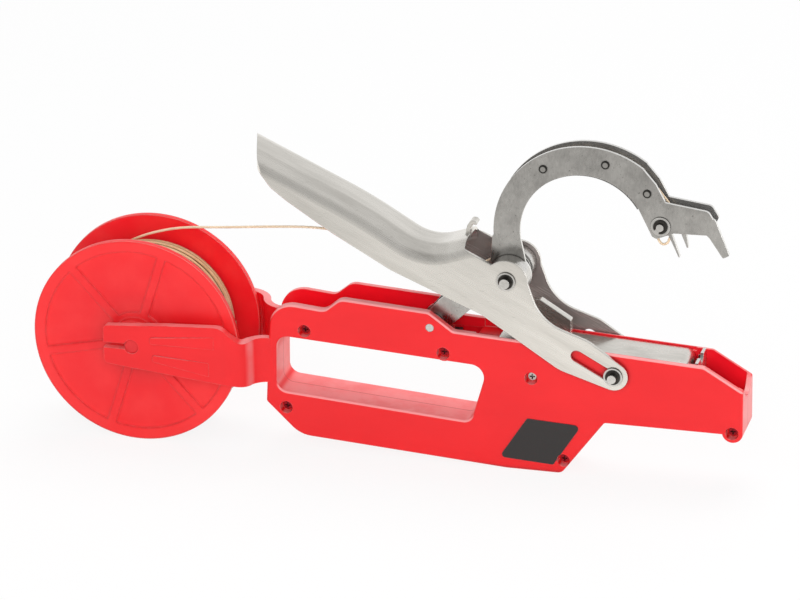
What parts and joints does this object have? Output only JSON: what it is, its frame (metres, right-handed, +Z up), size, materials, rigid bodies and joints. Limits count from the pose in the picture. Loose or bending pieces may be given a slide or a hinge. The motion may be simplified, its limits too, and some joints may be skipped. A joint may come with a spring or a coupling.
{
  "type": "electric vine tying tool",
  "caption": "Hand-held vine tying tool: red body with finger-loop grip, wire reel in a rear fork, and a squeeze lever that swings a C-shaped steel hook down to a twisting mouth in the nose.",
  "frame": {"origin": "on the table under the middle of the tool's length and width, as it stands on its reel and on the flat at the front of its lower bar", "axes": "+X from the reel to the nose, +Y across the tool away from the side with the screw heads, +Z up"},
  "size_m": [0.4314, 0.0674, 0.2042],
  "materials": {
    "red_body": "glossy moulded",
    "red_reel": "glossy moulded, thin and slightly see-through",
    "stainless": "polished stamped sheet",
    "plate_steel": "worn cut plate",
    "bright_pins": "turned",
    "dark_steel": "blackened",
    "roller_steel": "turned",
    "tie_wire": "paper wound on thin wire",
    "label_black": "matte film",
    "motor_can": "plated",
    "cell_wrap": "shrink film",
    "contact_brass": "sheet",
    "board_green": "laminate",
    "black_plastic": "moulded",
    "button_red": "moulded",
    "lead_rubber": "insulation"
  },
  "bodies": {
    "body": {"left_shell": "red_body", "right_shell": "red_body", "shell_screws": "dark_steel", "label_plate": "label_black", "cover_strip": "stainless", "branch_guide": "stainless", "nose_bracket": "plate_steel", "cutter_blade": "dark_steel", "hook_pivot_pin": "bright_pins", "pivot_spacers": "bright_pins", "slot_pin": "bright_pins", "slot_pin_sleeves": "bright_pins", "slot_pin_washers": "bright_pins", "slot_pin_clips": "dark_steel", "return_spring": "dark_steel", "motor_case": "motor_can", "spindle_bearings": "dark_steel", "battery_cells": "cell_wrap", "cell_contacts": "contact_brass", "circuit_board": "board_green", "wiring_leads": "lead_rubber", "charge_socket": "black_plastic", "switch_body": "black_plastic", "tie_wire_run": "tie_wire", "reel_axle": "red_reel"},
    "hook": {"hook_near_plate": "plate_steel", "hook_far_plate": "plate_steel", "hook_rivets": "bright_pins", "rocker_spacer": "bright_pins", "lever_pivot_pin": "bright_pins", "lever_pivot_bushes": "bright_pins", "pivot_washers": "bright_pins", "pivot_clips": "dark_steel", "gripper_pin": "bright_pins", "gripper_washer": "bright_pins", "gripper_clip": "dark_steel", "wire_needle": "plate_steel", "tie_wire_hook": "tie_wire"},
    "lever": {"lever": "stainless"},
    "reel": {"reel_near_flange": "red_reel", "reel_far_flange": "red_reel", "reel_hub": "red_reel", "wire_winding": "tie_wire"},
    "twister": {"twister_spindle": "dark_steel", "spindle_gear": "dark_steel", "twister_head": "dark_steel"},
    "motor_rotor": {"motor_rotor": "dark_steel"},
    "switch_button": {"switch_button": "button_red"},
    "gripper": {"wire_gripper": "plate_steel"},
    "rear_roller": {"rear_roller": "roller_steel"},
    "top_roller": {"top_roller": "roller_steel"},
    "front_roller": {"front_roller": "roller_steel"}
  },
  "joints": [
    {"name": "hook_close", "type": "hinge", "parent": "body", "child": "hook", "pos_m": [0.0279, 0, 0.0861], "axis": [0, 1, 0], "range_deg": [0, 22], "stiffness_Nm_per_rad": 1, "springref_deg": -28.65, "deforming": ["return_spring", "tie_wire_run"]},
    {"name": "lever_squeeze", "type": "hinge", "parent": "hook", "child": "lever", "pos_m": [0.0751, 0, 0.1211], "axis": [0, 1, 0], "range_deg": [-33.9, 0]},
    {"name": "reel_turn", "type": "hinge", "parent": "body", "child": "reel", "pos_m": [-0.1517, 0, 0.064], "axis": [0, 1, 0], "continuous": true},
    {"name": "twister_turn", "type": "hinge", "parent": "body", "child": "twister", "pos_m": [0.15, 0, 0.058], "axis": [1, 0, 0], "continuous": true},
    {"name": "motor_turn", "type": "hinge", "parent": "body", "child": "motor_rotor", "pos_m": [0.112, 0, 0.0436], "axis": [1, 0, 0], "continuous": true},
    {"name": "button_press", "type": "slide", "parent": "body", "child": "switch_button", "axis": [0, 0, -1], "range_m": [0, 0.001], "stiffness_N_per_m": 300},
    {"name": "gripper_tilt", "type": "hinge", "parent": "hook", "child": "gripper", "pos_m": [0.1645, 0, 0.1591], "axis": [0, 1, 0], "range_deg": [0, 12], "stiffness_Nm_per_rad": 0.05, "springref_deg": -17.19},
    {"name": "rear_roller_turn", "type": "hinge", "parent": "hook", "child": "rear_roller", "pos_m": [0.09488, 0, 0.18861], "axis": [0, 1, 0], "continuous": true},
    {"name": "top_roller_turn", "type": "hinge", "parent": "hook", "child": "top_roller", "pos_m": [0.13179, 0, 0.19429], "axis": [0, 1, 0], "continuous": true},
    {"name": "front_roller_turn", "type": "hinge", "parent": "hook", "child": "front_roller", "pos_m": [0.15645, 0, 0.17859], "axis": [0, 1, 0], "continuous": true}
  ],
  "couplings": [
    {"joint": "lever_squeeze", "follows": "hook_close", "ratio": -1.54},
    {"joint": "motor_turn", "follows": "twister_turn", "ratio": -2.6}
  ]
}
